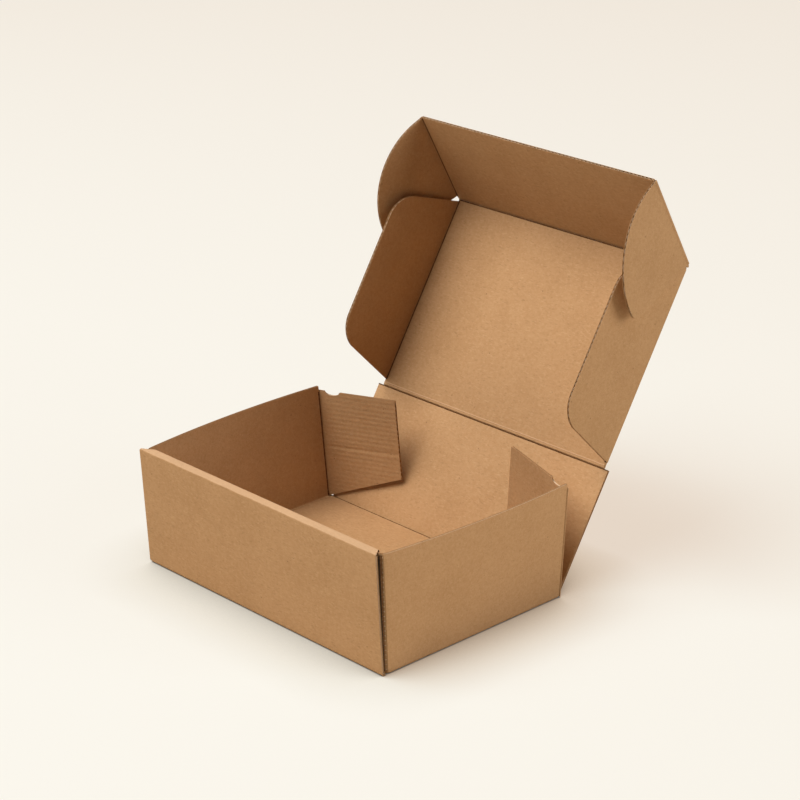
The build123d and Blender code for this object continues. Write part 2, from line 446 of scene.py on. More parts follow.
def outline_of(sheet):
    """The middle and outward normal of each outer edge of a flat sheet."""
    mesh = sheet.data
    uses = {}
    for face in mesh.polygons:
        for key in face.edge_keys:
            uses.setdefault(key, []).append(face)
    centre = sum((v.co for v in mesh.vertices), Vector()) / len(mesh.vertices)
    sides = []
    for key, faces in uses.items():
        if len(faces) > 1:
            continue
        start = mesh.vertices[key[0]].co
        end = mesh.vertices[key[1]].co
        outward = (end - start).cross(ALONG_Z).normalized()
        middle = (start + end) / 2
        if outward.dot(middle - centre) < 0:
            outward = -outward
        sides.append((middle, outward))
    return sides


def merge_sides(sides):
    """One of each line: sides that lie on the same line are cut once."""
    kept = []
    for middle, outward in sides:
        if not any(
            normal.dot(outward) > 0.99999 and abs((middle - point).dot(normal)) < 1e-6
            for point, normal in kept
        ):
            kept.append((middle, outward))
    return kept


def flutes(name, sides, along_x, rows):
    """The wavy paper between the liners, cut to a convex outline. along_x: flutes run along X."""
    sizes = settings().sizes
    pad = sizes.flute_pitch
    low = [min(middle[i] for middle, outward in sides) - pad for i in (0, 1)]
    high = [max(middle[i] for middle, outward in sides) + pad for i in (0, 1)]
    across = 1 if along_x else 0
    steps = max(8, round((high[across] - low[across]) / sizes.flute_pitch * STEPS_PER_FLUTE))
    cells = (rows, steps) if along_x else (steps, rows)
    sheet = flat_sheet(name, low, high, *cells)
    swing = sizes.board / 2 - sizes.liner - sizes.medium / 2 - FLUTE_PLAY
    for vertex in sheet.data.vertices:
        turn = vertex.co[across] / sizes.flute_pitch * 2 * math.pi
        vertex.co.z = swing * math.sin(turn)
    thicken(sheet, sizes.medium, 0)
    for middle, outward in sides:
        cut_off(sheet, middle - outward * sizes.flute_recess, outward, fill=True)
    give_materials(sheet)
    paint(sheet, "liner rim")
    return sheet


def raise_shell(sheet, closed):
    """Draws a flat sheet up to the board's thickness and opens its cut edges."""
    sizes = settings().sizes
    only(sheet)
    for vertex in sheet.data.vertices:
        vertex.co.z = -sizes.board / 2
    set_mode("EDIT")
    bpy.ops.mesh.select_mode(type="FACE")
    select_mesh()
    bpy.ops.mesh.extrude_region_move(TRANSFORM_OT_translate={"value": (0, 0, sizes.board)})
    select_mesh()
    bpy.ops.mesh.normals_make_consistent(inside=False)
    set_mode("OBJECT")

    def is_cut(face):
        return abs(face.normal.z) < 0.5 and not closed(face.center, face.normal)

    if select_where(sheet, "FACE", is_cut):
        bpy.ops.mesh.delete(type="FACE")
    set_mode("OBJECT")


def round_end(sheet, level, full):
    """Rounds the edges of a closed end, to a half circle where full."""
    half = settings().sizes.board / 2

    def on_end(edge):
        start, end = [sheet.data.vertices[index].co for index in edge.vertices]
        is_level = abs(start.z - end.z) < 1e-6
        return is_level and abs(start.y - level) < 1e-6 and abs(end.y - level) < 1e-6

    if select_where(sheet, "EDGE", on_end):
        bpy.ops.mesh.bevel(
            offset=half * (FULL_ROUND if full else EASED_ROUND), segments=5 if full else 2,
            affect="EDGES",
        )
    set_mode("OBJECT")


def board(name, sheet, closed, flute_along_x, rows=1, round_low=True):
    """Turns a flat sheet into corrugated board: two liners joined at the closed ends, and flutes.

    closed(middle, outward) says whether an outer side is a crease. A cut edge stays open.
    """
    sizes = settings().sizes
    medium = flutes(name + "_flutes", merge_sides(outline_of(sheet)), flute_along_x, rows)
    raise_shell(sheet, closed)
    low_y = min(v.co.y for v in sheet.data.vertices)
    high_y = max(v.co.y for v in sheet.data.vertices)
    for level, outward, full in ((low_y, -ALONG_Y, round_low), (high_y, ALONG_Y, False)):
        if closed(ALONG_Y * level, outward):
            round_end(sheet, level, full)
    shell = sheet.modifiers.new("Liners", "SOLIDIFY")
    shell.thickness = sizes.liner
    shell.offset = -1
    shell.use_even_offset = True
    # Painted shade inside the board: the liners' inner faces take the shaded cut paper
    shell.material_offset = PAPERS.index("shaded cut paper")
    shell.material_offset_rim = PAPERS.index("liner rim")
    finish_modifier(sheet, shell)
    give_materials(sheet)
    sheet.name = name
    return join([sheet, medium])


def all_closed(middle, outward):
    return True


def foot_closed(middle, outward):
    return outward.y < -0.5


def top_open(middle, outward):
    return outward.y < 0.5


# Materials

def new_material(name, roughness, shine):
    material = bpy.data.materials.new(name)
    material.use_nodes = True
    nodes = material.node_tree.nodes
    nodes.clear()
    shader = nodes.new("ShaderNodeBsdfPrincipled")
    shader.inputs["Roughness"].default_value = roughness
    shader.inputs["Specular IOR Level"].default_value = shine
    output = nodes.new("ShaderNodeOutputMaterial")
    material.node_tree.links.new(shader.outputs["BSDF"], output.inputs["Surface"])
    return nodes, material.node_tree.links, shader


def ramp(nodes, links, source, stops):
    """A colour ramp with (position, grey or colour) stops."""
    node = nodes.new("ShaderNodeValToRGB")
    elements = node.color_ramp.elements
    while len(elements) < len(stops):
        elements.new(0.5)
    for element, (position, value) in zip(elements, stops):
        element.position = position
        element.color = (value, value, value, 1) if isinstance(value, float) else (*value, 1)
    links.new(source, node.inputs["Fac"])
    return node.outputs["Color"]


def mix(nodes, links, factor, first, second, blend="MIX"):
    node = nodes.new("ShaderNodeMix")
    node.data_type = "RGBA"
    node.blend_type = blend
    for name, kind, value in (("Factor", "VALUE", factor), ("A", "RGBA", first), ("B", "RGBA", second)):
        socket = [s for s in node.inputs if s.name == name and s.type == kind][0]
        if isinstance(value, bpy.types.NodeSocket):
            links.new(value, socket)
        else:
            socket.default_value = value if kind == "VALUE" else (*value, 1)
    return [s for s in node.outputs if s.type == "RGBA"][0]


def object_place(nodes):
    return nodes.new("ShaderNodeTexCoord").outputs["Object"]


def noise_at(nodes, links, scale, stretch=(1, 1, 1), turn=(0, 0, 0), detail=3.0):
    """Noise on the object's own coordinates, stretched and turned."""
    mapping = nodes.new("ShaderNodeMapping")
    mapping.inputs["Rotation"].default_value = turn
    mapping.inputs["Scale"].default_value = stretch
    links.new(object_place(nodes), mapping.inputs["Vector"])
    texture = nodes.new("ShaderNodeTexNoise")
    texture.inputs["Scale"].default_value = scale
    texture.inputs["Detail"].default_value = detail
    texture.inputs["Roughness"].default_value = 0.6
    links.new(mapping.outputs["Vector"], texture.inputs["Vector"])
    return texture.outputs["Fac"]


def dark_specks(nodes, links, colour):
    """A few dark specks of bark in the paper."""
    cells = nodes.new("ShaderNodeTexVoronoi")
    cells.inputs["Scale"].default_value = 170.0
    links.new(object_place(nodes), cells.inputs["Vector"])
    near = ramp(nodes, links, cells.outputs["Distance"], [(0.06, 1.0), (0.11, 0.0)])
    picked = nodes.new("ShaderNodeSeparateColor")
    links.new(cells.outputs["Color"], picked.inputs["Color"])
    few = ramp(nodes, links, picked.outputs["Red"], [(0.86, 0.0), (0.9, 0.55)])
    speck = mix(nodes, links, 1.0, near, few, "MULTIPLY")
    return mix(nodes, links, speck, colour, SPECK_TONE)


def kraft_liner(name, lighten=0.0):
    """Brown kraft paper: faint clouds, short fibres lying every way, dark specks and a soft tooth."""
    colours = settings().colours
    dark = colours.kraft_dark
    light = colours.kraft_light
    fibre_dark = tuple(value * 0.8 for value in dark)
    nodes, links, shader = new_material(name, 0.82, 0.25)
    clouds = noise_at(nodes, links, 30.0, detail=4.0)
    colour = ramp(nodes, links, clouds, [(0.2, dark), (0.6, colours.kraft)])
    blotches = noise_at(nodes, links, 420.0, detail=5.0)
    pale = ramp(nodes, links, blotches, [(0.42, 0.0), (0.75, 0.34)])
    colour = mix(nodes, links, pale, colour, light)
    shade = ramp(nodes, links, blotches, [(0.28, 0.4), (0.46, 0.0)])
    colour = mix(nodes, links, shade, colour, dark)
    for turn in FIBRE_TURNS:
        fibres = noise_at(nodes, links, 900.0, (0.28, 1, 1), turn, 1.0)
        pale = ramp(nodes, links, fibres, [(0.64, 0.0), (0.74, 0.34)])
        colour = mix(nodes, links, pale, colour, light)
        shade = ramp(nodes, links, fibres, [(0.24, 0.5), (0.33, 0.0)])
        colour = mix(nodes, links, shade, colour, fibre_dark)
    # The highlit liner: kraft mixed towards the painted highlight tone
    if lighten:
        colour = mix(nodes, links, lighten, colour, colours.painted_highlight)
    colour = dark_specks(nodes, links, colour)
    links.new(colour, shader.inputs["Base Color"])
    tooth = noise_at(nodes, links, 1400.0, (1, 2.5, 2.5), (0.4, 0.2, 0.7), 3.0)
    bump = nodes.new("ShaderNodeBump")
    bump.inputs["Strength"].default_value = 0.25
    bump.inputs["Distance"].default_value = 0.12 * MM
    links.new(tooth, bump.inputs["Height"])
    links.new(bump.outputs["Normal"], shader.inputs["Normal"])


def rough_paper(name, grain, stops, shine):
    """Paper on edge, crushed or in a gap, all but the pale liner rim darkened with painted shade: two
    tones in a fine grain.
    """
    nodes, links, shader = new_material(name, 0.95, shine)
    fuzz = noise_at(nodes, links, grain, detail=2.0)
    links.new(ramp(nodes, links, fuzz, stops), shader.inputs["Base Color"])


def all_papers():
    colours = settings().colours
    dark_edge = tuple(value * 0.5 for value in colours.shaded_cut_edge)
    dark_rim = tuple(value * 0.8 for value in colours.rim)
    kraft_liner("kraft liner")
    kraft_liner("highlit liner", 0.5)
    rough_paper("shaded cut paper", 1800.0, [(0.35, dark_edge), (0.62, colours.shaded_cut_edge)], 0.15)
    for name, (dark, light) in (("crushed and shaded paper", CRUSHED_SHADE_TONES), ("painted slit shade", SLIT_SHADE_TONES)):
        rough_paper(name, 900.0, [(0.35, dark), (0.7, light)], 0.1)
    rough_paper("liner rim", 1200.0, [(0.3, dark_rim), (0.65, colours.rim)], 0.15)


# Creases

def crease_strip(name, low, high, fold, side):
    """The outer liner carried round a flap's crease, in the flap's own frame; side is its outer face."""
    radius = settings().sizes.board / 2 + STRIP_CLEAR
    strip = flat_sheet(name, (low, -radius * fold), (high, STRIP_LAP), 1, STRIP_STEPS)
    for vertex in strip.data.vertices:
        along = vertex.co.y
        angle = max(0, -along) / radius
        y = max(along, 0) - radius * math.sin(angle)
        vertex.co = (vertex.co.x, y, side * radius * math.cos(angle))
    thicken(strip, STRIP_PAPER, side)
    set_mode("EDIT")
    select_mesh()
    bpy.ops.mesh.normals_make_consistent(inside=False)
    set_mode("OBJECT")
    give_materials(strip)
    return strip


def score_line(name, start, end, radius=SCORE_RADIUS, paper="crushed and shaded paper"):
    """A line of paper along a crease: crushed and dark with painted crease shade, or a raised pale bead
    with a painted highlight.
    """
    deselect()
    bpy.ops.mesh.primitive_cylinder_add(vertices=16, radius=radius, depth=(end - start).length)
    line = bpy.context.object
    line.name = name
    turn = (end - start).to_track_quat("Z", "Y").to_matrix().to_4x4()
    place(line, Matrix.Translation((start + end) / 2) @ turn)
    give_materials(line)
    paint(line, paper)
    return line


def level_line(name, middle, half_length, **finish):
    """A line along X, to both sides of its middle."""
    reach = ALONG_X * half_length
    return score_line(name, middle - reach, middle + reach, **finish)


def beside_crease(place_of_crease, up, inward, offsets):
    """A point back from a crease, its depth measured from the board's inner face."""
    back, depth = offsets
    return place_of_crease - up * back + inward * (settings().sizes.board / 2 - depth)


# Panels on the rear crease

class MAILER_OT_back_wall(bpy.types.Operator):
    """Back wall: plain board between the floor's rear crease and the lid's"""
    bl_idname = "mailer.back_wall"
    bl_label = "Back wall"

    def execute(self, context):
        sizes = settings().sizes
        foot = crease("back_wall_hinge")
        head = crease("lid_hinge")
        low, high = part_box("back_wall")
        half_width = (high[0] - low[0]) / 2
        end = (head - foot).length - sizes.board / 2 - sizes.crease_gap
        sheet = flat_sheet("back_wall", (-half_width, -sizes.board / 2), (half_width, end))
        piece = board("back_wall_board", sheet, lambda m, n: abs(n.y) > 0.5, False)
        place(piece, placing(foot, ALONG_X, head - foot))
        # The dark line under the lid's crease: crushed paper and a painted shadow under the crease's bead
        up = (head - foot).normalized()
        where = beside_crease(head, up, ALONG_X.cross(up), BACK_SCORE)
        hand_over(join([piece, level_line("back_score", where, half_width)]), "back_wall")
        return {"FINISHED"}


def lid_wings(foot, up, edge, reach):
    """Both wings in place, and the crushed line of painted crease shade inside each wing's crease."""
    shapes = settings().flaps
    half = settings().sizes.board / 2
    start = shapes.wing_rear_start
    stop = reach - shapes.wing_front_start
    wide = shapes.wing_width
    rear = shapes.wing_rear_taper
    front = shapes.wing_front_taper
    wing = flat_sheet("wing", (start, -half), (stop, wide))
    cut_off(wing, (start, 0, 0), (-math.cos(rear), math.sin(rear), 0))
    cut_off(wing, (stop, 0, 0), (math.cos(front), math.sin(front), 0))
    round_corner(wing, (start + wide * math.tan(rear), wide), shapes.wing_round, 14)
    round_corner(wing, (stop - wide * math.tan(front), wide), shapes.wing_round, 14)
    wing = board("wing_left", wing, foot_closed, False)
    inside = face_towards("lid", ALONG_X)
    origin = foot - ALONG_X * edge
    place(wing, placing(origin, up, inside.cross(up)))
    right = mirrored(wing, "wing_right")
    corner = origin + ALONG_X * half + ALONG_X.cross(up) * half
    line = score_line("wing_score", corner + up * start, corner + up * stop, WING_SCORE_RADIUS)
    return [wing, right, line, mirrored(line, "wing_score_right")]


class MAILER_OT_lid(bpy.types.Operator):
    """Lid: its panel and the two wings folded down from its sides"""
    bl_idname = "mailer.lid"
    bl_label = "Lid and wings"

    def execute(self, context):
        sizes = settings().sizes
        half = sizes.board / 2
        foot = crease("lid_hinge")
        head = crease("tuck_flap_hinge")
        reach = (head - foot).length
        up = (head - foot).normalized()
        inward = ALONG_X.cross(up)
        low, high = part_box("lid")
        edge = (high[0] - low[0]) / 2 - half
        sheet = flat_sheet("lid_panel", (-edge, -half), (edge, reach - half - sizes.crease_gap))
        piece = board("lid_board", sheet, all_closed, False)
        piece = join([piece, crease_strip("lid_crease", -edge, edge, math.radians(90), -1)])
        place(piece, placing(foot, ALONG_X, up))
        pieces = [piece] + lid_wings(foot, up, edge, reach)
        # Crushed paper with painted crease shade along the tuck flap's crease
        tuck_line = beside_crease(head, up, inward, TUCK_SCORE)
        pieces.append(level_line("tuck_score", tuck_line, edge))
        # The raised bead of the rear crease, pale with a painted highlight
        bead = beside_crease(foot, up, inward, REAR_BEAD)
        finish = {"radius": REAR_BEAD_RADIUS, "paper": "highlit liner"}
        pieces.append(level_line("rear_bead", bead, edge, **finish))
        hand_over(join(pieces), "lid")
        return {"FINISHED"}


class MAILER_OT_tuck_flap(bpy.types.Operator):
    """Tuck flap: the panel at the lid's front"""
    bl_idname = "mailer.tuck_flap"
    bl_label = "Tuck flap"

    def execute(self, context):
        half = settings().sizes.board / 2
        foot = crease("tuck_flap_hinge")
        up = hinge("ear_left_hinge")[1]
        low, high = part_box("tuck_flap")
        half_width = (high[0] - low[0]) / 2
        inside = ALONG_X.cross(up)
        length_up = (high[2] - low[2] - half - abs(inside.z) * half) / up.z
        sheet = flat_sheet("tuck", (-half_width, -half), (half_width, length_up))
        piece = board("tuck_flap_board", sheet, top_open, False)
        strip = crease_strip("tuck_crease", -half_width, half_width, math.radians(98), -1)
        piece = join([piece, strip])
        place(piece, placing(foot, ALONG_X, up))
        # Crushed paper with painted crease shade along each ear's crease
        corner = foot - ALONG_X * (half_width - EAR_SCORE_INSET) + inside * half
        line = score_line("ear_score", corner + up * half * 2, corner + up * (length_up - half))
        hand_over(join([piece, line, mirrored(line, "ear_score_right")]), "tuck_flap")
        return {"FINISHED"}


class MAILER_OT_ears(bpy.types.Operator):
    """Ears: a quarter-round flap on each end of the tuck flap"""
    bl_idname = "mailer.ears"
    bl_label = "Ears"

    def execute(self, context):
        half = settings().sizes.board / 2
        shapes = settings().flaps
        origin, up = hinge("ear_left_hinge")
        root = shapes.ear_root
        tip = shapes.ear_tip
        reach = shapes.ear_reach
        foot = shapes.ear_foot_slant
        ear = flat_sheet("ear", (root, -half), (tip, reach))
        cut_off(ear, (root, 0, 0), (-math.cos(foot), math.sin(foot), 0))
        round_corner(ear, (tip, reach), reach - shapes.ear_lip, 36)
        round_corner(ear, (root + reach * math.tan(foot), reach), shapes.ear_round, 10)
        ear = board("ear_left_board", ear, foot_closed, True)
        ear = join([ear, crease_strip("ear_crease", root, tip, math.radians(90), -1)])
        inside = face_towards("ear_left", ALONG_X)
        place(ear, placing(origin, up, inside.cross(up)))
        right = mirrored(ear, "ear_right_board")
        hand_over(ear, "ear_left")
        hand_over(right, "ear_right")
        return {"FINISHED"}


def washboard(flap):
    """The liner sinks a little between the flutes, and one long dent crosses the flap."""
    pitch = settings().sizes.flute_pitch
    for vertex in flap.data.vertices:
        across, along, out = vertex.co
        if along < RIPPLE_START or out > -0.2 * MM:
            continue
        fade = min(1, along / RIPPLE_FADE)
        sunk = (1 - math.sin(across / pitch * 2 * math.pi)) / 2
        uneven = 0.65 + 0.5 * noise.noise(Vector((across * 60, along * 25, 0)))
        off_dent = (across - DENT_PLACE - along * DENT_SLANT) / DENT_WIDTH
        dent = DENT_DEPTH * math.exp(-off_dent ** 2) * fade
        vertex.co.z = out + fade * (RIPPLE * uneven * sunk + dent)


class MAILER_OT_rear_flaps(bpy.types.Operator):
    """Rear flaps: folded in behind the tray, with a nick in the top edge"""
    bl_idname = "mailer.rear_flaps"
    bl_label = "Rear flaps"

    def execute(self, context):
        sizes = settings().sizes
        shapes = settings().flaps
        origin, axis = hinge("rear_flap_left_hinge")
        up = -axis
        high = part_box("rear_flap_left")[1]
        long = shapes.rear_flap_length
        root = shapes.rear_flap_root
        foot = shapes.rear_flap_slant
        out = face_towards("rear_flap_left", ALONG_Y).cross(up)
        top = (high[2] - out.z * long) / up.z
        flap = flat_sheet("rear_flap", (root, -sizes.board / 2), (top, long), *REAR_FLAP_CELLS)
        cut_off(flap, (root, 0, 0), (-math.cos(foot), math.sin(foot), 0))
        flap = board("rear_flap_left_board", flap, foot_closed, False)
        strip = crease_strip("rear_flap_crease", REAR_STRIP_START, top, math.radians(90), 1)
        flap = join([flap, strip])
        deselect()
        bpy.ops.mesh.primitive_cylinder_add(
            vertices=40, radius=1.0, depth=6 * sizes.board, location=(top, shapes.nick_centre, 0),
        )
        nick = bpy.context.object
        nick.scale = (shapes.nick_depth, shapes.nick_width / 2, 1)
        cut_through(flap, [nick])
        right = mirrored(flap, "rear_flap_right_board")
        washboard(flap)
        matrix = placing(origin, up, out)
        place(flap, matrix)
        # The right flap was mirrored flat, so its frame is the left one's mirror image
        flip = Matrix.Scale(-1, 4, ALONG_X)
        for vertex in right.data.vertices:
            vertex.co = flip @ (matrix @ (flip @ vertex.co))
        hand_over(flap, "rear_flap_left")
        hand_over(right, "rear_flap_right")
        return {"FINISHED"}


# Tray

def bend_side_wall(piece, wall_front, wall_rear):
    """Bends a flat wall, X along it and Y up, round its corner fold and out into its bow."""
    tray = settings().tray
    half = settings().sizes.board / 2
    radius = tray.corner_fold - half
    lowest = half + BOTTOM_FOLD
    # The top's bow as a curve through its front, middle and rear
    linear = 4 * tray.bow_middle - tray.bow_rear - 3 * tray.bow_front
    square = 2 * (tray.bow_rear + tray.bow_front - 2 * tray.bow_middle)
    for vertex in piece.data.vertices:
        along, height, out = vertex.co
        rise = (max(height, 0) + lowest) / tray.wall_height
        front = wall_front - tray.front_lean * rise
        if height < 0:
            angle = -height / BOTTOM_FOLD
            z = lowest - (BOTTOM_FOLD + out) * math.sin(angle)
            out = (BOTTOM_FOLD + out) * math.cos(angle) - BOTTOM_FOLD
        else:
            z = height + lowest
        if along < 0:
            angle = -along / radius
            reach = radius + out
            x = tray.width / 2 - tray.corner_fold
            x += (reach + tray.bow_front * rise) * math.cos(angle)
            y = front - reach * math.sin(angle)
        else:
            share = along / (wall_rear - wall_front)
            y = front + (wall_rear - front) * share
            bow = tray.bow_front + linear * share + square * share * share
            x = tray.width / 2 - half + out + bow * rise
        vertex.co = (-x, y, z)


def side_wall():
    """The left side wall with its front fold, and the dark line inside its rear corner: crushed paper with
    painted crease shade.
    """
    tray = settings().tray
    sizes = settings().sizes
    half = sizes.board / 2
    corner = (tray.corner_fold - half) * math.pi / 2
    rear_hinge, axis = hinge("rear_flap_left_hinge")
    wall_rear = rear_hinge.y - half - sizes.crease_gap
    wall_front = -tray.depth / 2 + sizes.board + tray.skin_play + tray.corner_fold
    foot = BOTTOM_FOLD * math.pi / 2
    top = tray.wall_height - half - BOTTOM_FOLD
    wall = flat_sheet("wall", (-corner, -foot), (wall_rear - wall_front, top), *WALL_CELLS)
    wall = board("side_wall", wall, top_open, True, WALL_CELLS[0], round_low=False)
    add_loops(wall, [-foot * step / FOLD_STEPS for step in range(FOLD_STEPS)], ALONG_Y)
    bend_side_wall(wall, wall_front, wall_rear)
    wall.data.flip_normals()
    up = -axis
    inner_corner = rear_hinge + ALONG_X * half - ALONG_Y * CORNER_SCORE_INSET
    line_top = (tray.wall_height - CORNER_SCORE_SHORT) / up.z
    line = score_line("corner_score", inner_corner + up * sizes.board, inner_corner + up * line_top)
    return join([wall, line])


class FrontPath:
    """The middle line of the rolled front wall: up the outer skin, over the ridge, down inside."""

    def __init__(self):
        tray = settings().tray
        half = settings().sizes.board / 2
        radius = RIDGE_FOLD - half
        lean = math.atan2(tray.front_lean, tray.wall_height)
        sine = math.sin(lean)
        cosine = math.cos(lean)
        foot_turn = math.pi / 2 - lean
        foot = BOTTOM_FOLD * foot_turn
        outer = (tray.wall_height - half - radius * (1 + sine)) / cosine - BOTTOM_FOLD
        ridge = tray.ridge_depth - 2 * half - 2 * radius * (cosine + sine * math.tan(lean))
        inner = (tray.wall_height - 3 * half + radius * (sine - 1)) / cosine
        over = math.pi / 2 + lean
        down = math.pi / 2 - lean
        self.start = (-tray.depth / 2 + half + BOTTOM_FOLD, half)
        self.runs = (
            (foot, foot_turn, BOTTOM_FOLD), (outer, 0, 0), (radius * over, over, radius),
            (ridge, 0, 0), (radius * down, down, radius), (inner, 0, 0),
        )
        self.length = sum(run for run, turn, bend in self.runs)
        self.ridge_start = foot + outer
        self.ridge_end = self.ridge_start + radius * over + ridge

    def loops(self):
        """Where the flat sheet needs edges across it so that it can bend."""
        marks = []
        at = 0.0
        for run, turn, bend in self.runs:
            steps = FOLD_STEPS if turn else max(1, round(run / SKIN_STEP))
            marks += [at + run * step / steps for step in range(1, steps + 1)]
            at += run
        return marks[:-1]

    def bend(self, along, out):
        """Where a point of the flat sheet goes: along the path, and out from its middle line."""
        y, z = self.start
        heading = math.pi
        for index, (run, turn, radius) in enumerate(self.runs):
            here = along <= run or index == len(self.runs) - 1
            step = along if here else run
            if turn:
                centre_y = y + math.sin(heading) * radius
                centre_z = z - math.cos(heading) * radius
                heading -= turn * step / run
                y = centre_y - math.sin(heading) * radius
                z = centre_z + math.cos(heading) * radius
            else:
                y += math.cos(heading) * step
                z += math.sin(heading) * step
            if here:
                break
            along -= run
        return y - math.sin(heading) * out, z + math.cos(heading) * out


def rolled_front():
    """The front wall: one sheet rolled over the dust flaps, its ridge a little uneven."""
    tray = settings().tray
    path = FrontPath()
    half_width = tray.front_width / 2
    sheet = flat_sheet("front", (-half_width, 0), (half_width, path.length), *FRONT_CELLS)
    front = board("front_board", sheet, foot_closed, False, round_low=False)
    add_loops(front, path.loops(), ALONG_Y)
    narrow = tray.inner_skin_width / tray.front_width
    for vertex in front.data.vertices:
        across, along, out = vertex.co
        share = (along - path.ridge_start) / (path.ridge_end - path.ridge_start)
        share = min(max(share, 0), 1)
        y, z = path.bend(along, out)
        near = math.exp(-((along - path.ridge_start) / RIDGE_WAVE_REACH) ** 2)
        wave = noise.noise(Vector((across * 95, 3.1, 0)))
        wave += 0.6 * noise.noise(Vector((across * 260, 0, 7.7)))
        x = across * (1 + (narrow - 1) * share) - SKIN_SHIFT * (1 - share)
        vertex.co = (x, y - near * wave * RIDGE_WAVE, z)
    # Painted highlight: the upward faces at the ridge's top take the highlit liner
    top = tray.wall_height - HIGHLIGHT_DEPTH
    for face in front.data.polygons:
        if face.material_index == 0 and face.normal.z > 0.6 and face.center.z > top:
            face.material_index = PAPERS.index("highlit liner")
    return front


def corner_slit_shade(near, far, paper):
    """Part of the dark gap between the outer skin's right end and the side wall's fold: a sheet painted
    dark as the gap's shade.
    """
    tray = settings().tray
    top = tray.wall_height - GAP_BELOW_RIDGE
    gap = flat_sheet("corner_slit_shade", (near, GAP_FOOT), (far, top), *GAP_CELLS)
    skin_x = tray.front_width / 2 - SKIN_SHIFT
    skin_y = -tray.depth / 2 + settings().sizes.board
    reach = tray.corner_fold + STRIP_CLEAR
    for vertex in gap.data.vertices:
        share, height = vertex.co.xy
        rise = height / tray.wall_height
        angle = GAP_TURN - GAP_TURN_LESS * rise
        fold_x = tray.width / 2 - tray.corner_fold + tray.bow_front * rise * math.cos(angle)
        fold_y = skin_y + tray.skin_play + tray.corner_fold
        end_x = fold_x + reach * math.cos(angle)
        end_y = fold_y - reach * math.sin(angle)
        x = skin_x - GAP_LAP + share * (end_x - skin_x + GAP_LAP)
        y = skin_y + share * (end_y - skin_y) + GAP_SINK * math.sin(share * math.pi)
        vertex.co = (x, y - tray.front_lean * rise, height)
    thicken(gap, SLIT_SHADE_THICKNESS, 0)
    give_materials(gap)
    paint(gap, paper)
    return gap


def dust_flap():
    """The left dust flap, standing inside the rolled front wall."""
    tray = settings().tray
    sizes = settings().sizes
    lean = math.atan2(tray.front_lean, tray.wall_height)
    low = sizes.board + DUST_FLAP_PLAY
    flap = flat_sheet("dust_flap", (0, low), (DUST_FLAP_LENGTH, tray.wall_height - low))
    flap = board("dust_flap_left", flap, lambda m, n: n.x < -0.5, True)
    y = -tray.depth / 2 + sizes.board * 1.5 + tray.skin_play
    origin = Vector((-tray.width / 2 + tray.corner_fold, y, 0))
    place(flap, placing(origin, ALONG_X, Vector((0, -math.sin(lean), math.cos(lean)))))
    return flap


def lock_tab(middle):
    """A tab of the inner skin, standing in its slot in the floor."""
    tray = settings().tray
    sizes = settings().sizes
    half = TAB_WIDTH / 2
    tab = flat_sheet("tab", (middle - half, TAB_LIFT), (middle + half, sizes.board * 1.1))
    tab = board("lock_tab", tab, lambda m, n: n.y > 0.5, False, round_low=False)
    y = -tray.depth / 2 + tray.ridge_depth - sizes.board / 2
    place(tab, placing(Vector((0, y, 0)), ALONG_X, ALONG_Z))
    return tab


def tray_floor(inside, rear_y, tabs):
    """The floor, with a slot for each lock tab."""
    tray = settings().tray
    thick = settings().sizes.board
    half = thick / 2
    front_y = -tray.depth / 2
    corner = (inside, rear_y + FLOOR_LAP)
    floor = flat_sheet("floor", (-inside, front_y + half + BOTTOM_FOLD), corner)
    floor = board("floor", floor, all_closed, False, round_low=False)
    place(floor, Matrix.Translation((0, 0, half)))
    slots = []
    for middle in tabs:
        deselect()
        y = front_y + tray.ridge_depth - half
        bpy.ops.mesh.primitive_cube_add(size=1.0, location=(middle, y, half))
        slot = bpy.context.object
        slot.scale = (TAB_WIDTH + 2 * SLOT_PLAY, thick + 2 * SLOT_PLAY, 4 * thick)
        slots.append(slot)
    cut_through(floor, slots)
    return floor


def floor_lines(inside, rear_y):
    """The dark line inside the floor's rear crease, a little deeper at the left, crushed paper with
    painted crease shade, and a dark plug of painted shade at each of its ends."""
    thick = settings().sizes.board
    reach = inside + FLOOR_SCORE_REACH
    back = rear_y + FLOOR_SCORE_BACK
    start = Vector((-reach, back, thick - FLOOR_SCORE_DEPTH))
    lines = [score_line("floor_score", start, Vector((reach, back, thick)))]
    beside, behind, height = SHADED_CORNER_PLUG
    for side in (-1, 1):
        near = Vector((side * (inside + beside), rear_y + behind, height))
        far = near + ALONG_X * side * SHADED_CORNER_PLUG_LENGTH
        lines.append(score_line("shaded_corner_plug", near, far, SHADED_CORNER_PLUG_RADIUS))
    return lines


class MAILER_OT_tray(bpy.types.Operator):
    """Tray: floor, sprung side walls with their dust flaps, and the rolled front wall"""
    bl_idname = "mailer.tray"
    bl_label = "Tray"

    def execute(self, context):
        sizes = settings().sizes
        half = sizes.board / 2
        tabs = (-TAB_SPREAD / 2, TAB_SPREAD / 2)
        inside = settings().tray.width / 2 - half - BOTTOM_FOLD
        rear_y = crease("back_wall_hinge").y - half - sizes.crease_gap
        floor = tray_floor(inside, rear_y, tabs)
        wall = side_wall()
        twin = mirrored(wall, "side_wall_right")
        flap = dust_flap()
        front = rolled_front()
        pieces = [floor, wall, twin, flap, mirrored(flap, "dust_flap_right"), front]
        # Painted shade in the corner slit: its near half darkest, its far half in the crushed and shaded
        # paper
        pieces += [corner_slit_shade(0, 0.5, "painted slit shade"), corner_slit_shade(0.5, 1, "crushed and shaded paper")]
        pieces += floor_lines(inside, rear_y)
        pieces += [lock_tab(middle) for middle in tabs]
        piece = join(pieces)
        piece.name = "tray_board"
        hand_over(piece, "tray")
        return {"FINISHED"}


